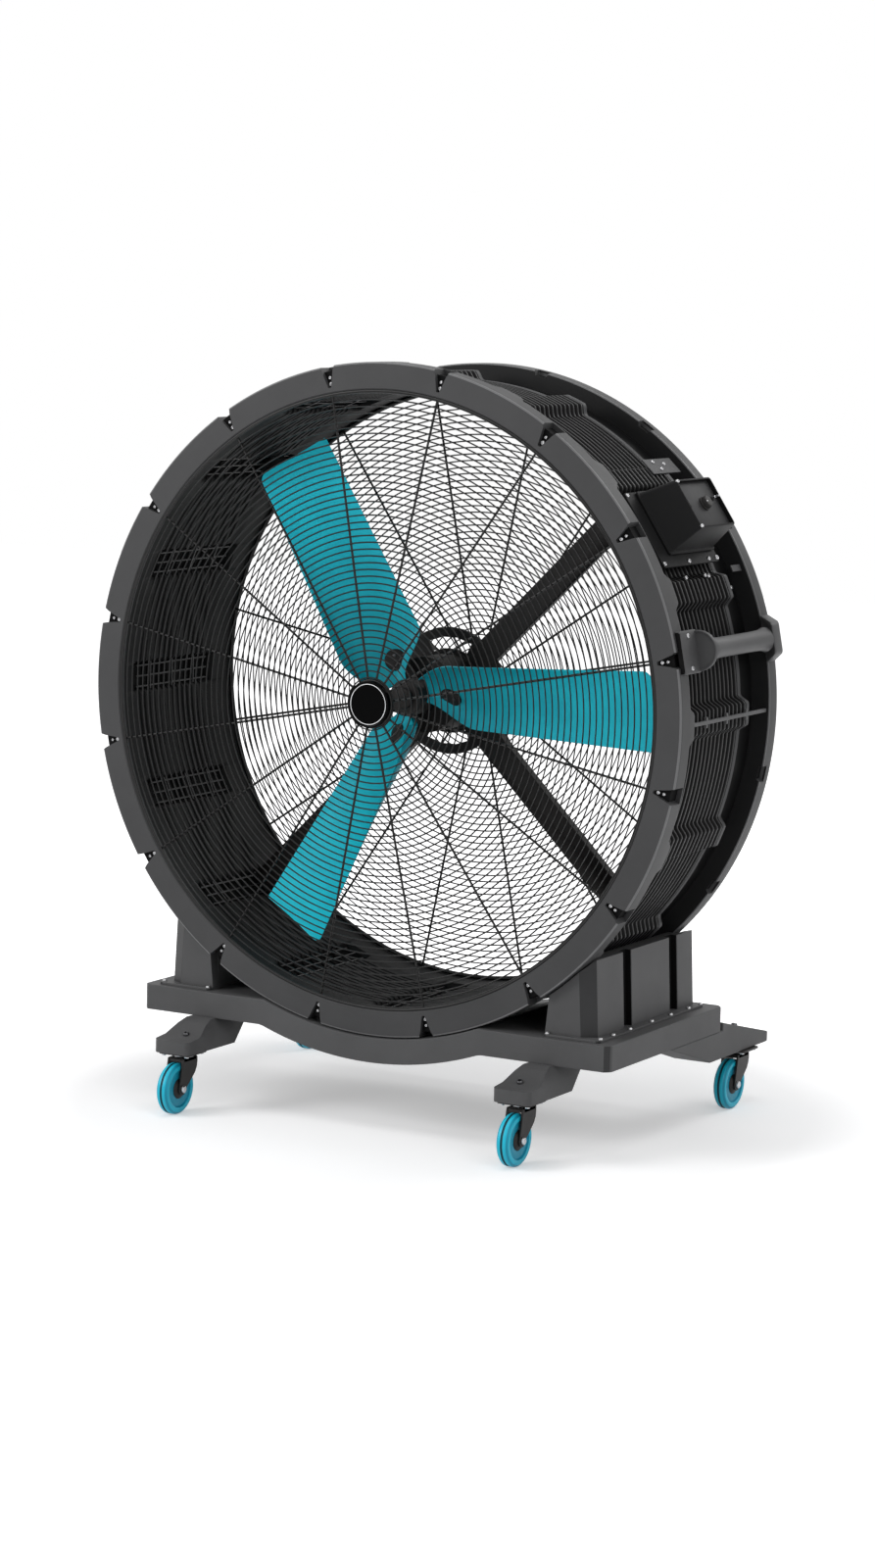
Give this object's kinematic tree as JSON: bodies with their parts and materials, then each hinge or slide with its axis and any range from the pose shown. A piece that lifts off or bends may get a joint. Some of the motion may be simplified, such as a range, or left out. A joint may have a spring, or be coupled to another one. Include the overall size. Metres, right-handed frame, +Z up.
{
  "type": "drum fan on casters",
  "caption": "Large drum fan with ribbed barrel, wire guards, bladed rotor and side controls, on a moulded base with swivel casters, for moving air in workshops.",
  "frame": {"origin": "on the floor, midway across the width and midway between the front wheels and the ends of the rear feet", "axes": "+Z up, +X towards the side with the control box (the fan's left hand), air leaves towards -Y through the front guard"},
  "size_m": [1.6444, 1.0526, 1.8255],
  "materials": {
    "body_plastic": "fine moulded texture, dark grey",
    "barrel_plastic": "satin moulded, near black",
    "guard_wire": "black powder coat",
    "badge_gloss": "gloss black",
    "bracket_paint": "satin black paint",
    "hub_black": "satin black",
    "blade_teal": "satin teal",
    "steel": "bright turned",
    "winding": "varnished copper wire",
    "black_plastic": "satin black",
    "circuit_board": "green solder mask",
    "caster_paint": "black powder coat",
    "tyre_teal": "smooth teal polyurethane"
  },
  "bodies": {
    "drum_and_base": {"front_ring": "body_plastic", "rear_ring": "body_plastic", "base_tray": "body_plastic", "pedestal_right": "body_plastic", "pedestal_left": "body_plastic", "foot_front_right": "body_plastic", "foot_rear_right": "body_plastic", "foot_front_left": "body_plastic", "foot_rear_left": "body_plastic", "control_panel": "body_plastic", "handle_grip": "body_plastic", "handle_front_bracket": "body_plastic", "handle_rear_bracket": "body_plastic", "seam_bar_right": "body_plastic", "seam_bar_left": "body_plastic", "barrel_shell": "barrel_plastic", "front_guard": "guard_wire", "rear_guard": "guard_wire", "badge": "badge_gloss", "motor_bracket": "bracket_paint", "motor_shell": "bracket_paint", "motor_rear_cover": "bracket_paint", "front_bearing": "steel", "rear_bearing": "steel", "motor_stator": "winding", "control_box": "black_plastic", "cable_gland": "black_plastic", "drive_board": "circuit_board", "caster_front_right_plate": "caster_paint", "caster_front_left_plate": "caster_paint", "caster_rear_right_plate": "caster_paint", "caster_rear_left_plate": "caster_paint"},
    "rotor": {"hub": "hub_black", "hub_cap": "hub_black", "blade_1": "blade_teal", "blade_2": "blade_teal", "blade_3": "blade_teal", "blade_clamp_1": "hub_black", "blade_clamp_2": "hub_black", "blade_clamp_3": "hub_black", "motor_rotor": "steel", "motor_shaft": "steel"},
    "swivel_front_right": {"caster_front_right_fork": "caster_paint", "caster_front_right_axle": "steel"},
    "swivel_front_left": {"caster_front_left_fork": "caster_paint", "caster_front_left_axle": "steel"},
    "swivel_rear_right": {"caster_rear_right_fork": "caster_paint", "caster_rear_right_axle": "steel"},
    "swivel_rear_left": {"caster_rear_left_fork": "caster_paint", "caster_rear_left_axle": "steel"},
    "wheel_front_right": {"caster_front_right_wheel": "tyre_teal"},
    "wheel_front_left": {"caster_front_left_wheel": "tyre_teal"},
    "wheel_rear_right": {"caster_rear_right_wheel": "tyre_teal"},
    "wheel_rear_left": {"caster_rear_left_wheel": "tyre_teal"},
    "knob": {"speed_knob": "black_plastic"},
    "switch_lever": {"power_switch": "steel"}
  },
  "joints": [
    {"name": "rotor_spin", "type": "hinge", "parent": "drum_and_base", "child": "rotor", "pos_m": [-0.02463, -0.18375, 1.028], "axis": [0, 1, 0], "continuous": true},
    {"name": "swivel_front_right_turn", "type": "hinge", "parent": "drum_and_base", "child": "swivel_front_right", "pos_m": [0.44437, -0.43175, 0.135], "axis": [0, 0, 1], "continuous": true},
    {"name": "wheel_front_right_roll", "type": "hinge", "parent": "swivel_front_right", "child": "wheel_front_right", "pos_m": [0.44437, -0.46375, 0.0625], "axis": [1, 0, 0], "continuous": true},
    {"name": "swivel_front_left_turn", "type": "hinge", "parent": "drum_and_base", "child": "swivel_front_left", "pos_m": [-0.49363, -0.43175, 0.135], "axis": [0, 0, 1], "continuous": true},
    {"name": "wheel_front_left_roll", "type": "hinge", "parent": "swivel_front_left", "child": "wheel_front_left", "pos_m": [-0.49363, -0.46375, 0.0625], "axis": [1, 0, 0], "continuous": true},
    {"name": "swivel_rear_right_turn", "type": "hinge", "parent": "drum_and_base", "child": "swivel_rear_right", "pos_m": [0.58737, 0.41625, 0.135], "axis": [0, 0, 1], "continuous": true},
    {"name": "wheel_rear_right_roll", "type": "hinge", "parent": "swivel_rear_right", "child": "wheel_rear_right", "pos_m": [0.58737, 0.38425, 0.0625], "axis": [1, 0, 0], "continuous": true},
    {"name": "swivel_rear_left_turn", "type": "hinge", "parent": "drum_and_base", "child": "swivel_rear_left", "pos_m": [-0.63663, 0.41625, 0.135], "axis": [0, 0, 1], "continuous": true},
    {"name": "wheel_rear_left_roll", "type": "hinge", "parent": "swivel_rear_left", "child": "wheel_rear_left", "pos_m": [-0.63663, 0.38425, 0.0625], "axis": [1, 0, 0], "continuous": true},
    {"name": "knob_turn", "type": "hinge", "parent": "drum_and_base", "child": "knob", "pos_m": [0.67759, -0.05175, 1.52126], "axis": [0.8315, 0, 0.5556], "range_deg": [0, 270]},
    {"name": "switch_flip", "type": "hinge", "parent": "drum_and_base", "child": "switch_lever", "pos_m": [0.67741, 0.00425, 1.53557], "axis": [0, -1, 0], "range_deg": [0, 24]}
  ]
}
